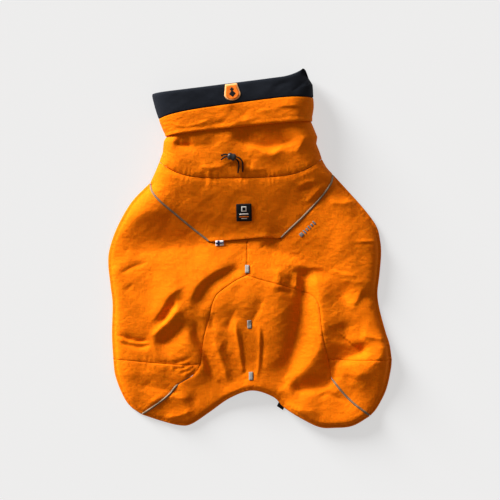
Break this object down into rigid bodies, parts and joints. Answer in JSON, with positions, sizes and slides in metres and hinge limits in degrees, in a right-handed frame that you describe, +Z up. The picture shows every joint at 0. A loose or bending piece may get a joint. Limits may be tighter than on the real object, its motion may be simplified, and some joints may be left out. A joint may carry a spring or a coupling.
{
  "type": "dog parka",
  "caption": "Padded orange dog parka with a turned-down collar, dark lining band, drawcord and reflective piping, laid flat with its back side up.",
  "frame": {"origin": "middle of the laid garment's outline, on the surface that it rests on", "axes": "+Y from the hem towards the collar, +X to the right seen from above with the collar at the top, +Z up from the surface"},
  "size_m": [0.4266, 0.5386, 0.0464],
  "materials": {
    "orange_shell": "woven padded shell, matt with a slight sheen",
    "dark_lining": "smooth brushed knit, matt",
    "grey_piping": "reflective coated tape",
    "black_trim": "moulded plastic and braided cord",
    "woven_label": "woven label",
    "white_tab": "woven tab"
  },
  "bodies": {
    "root": {"yoke": "orange_shell", "back_left": "orange_shell", "back_right": "orange_shell", "side_left": "orange_shell", "side_right": "orange_shell", "rump_panel": "orange_shell", "belly_panel": "orange_shell", "collar_shell": "orange_shell", "collar_facing": "orange_shell", "collar_lining": "dark_lining", "yoke_piping_left": "grey_piping", "yoke_piping_right": "grey_piping", "hem_piping_left": "grey_piping", "hem_piping_right": "grey_piping", "spine_mark_1": "grey_piping", "spine_mark_2": "grey_piping", "spine_mark_3": "grey_piping", "neck_label": "woven_label", "hem_tab": "woven_label", "collar_tag": "orange_shell", "flag_tab": "white_tab", "cord_lock": "black_trim", "drawcord_upper": "black_trim", "drawcord_lower": "black_trim"}
  },
  "joints": []
}
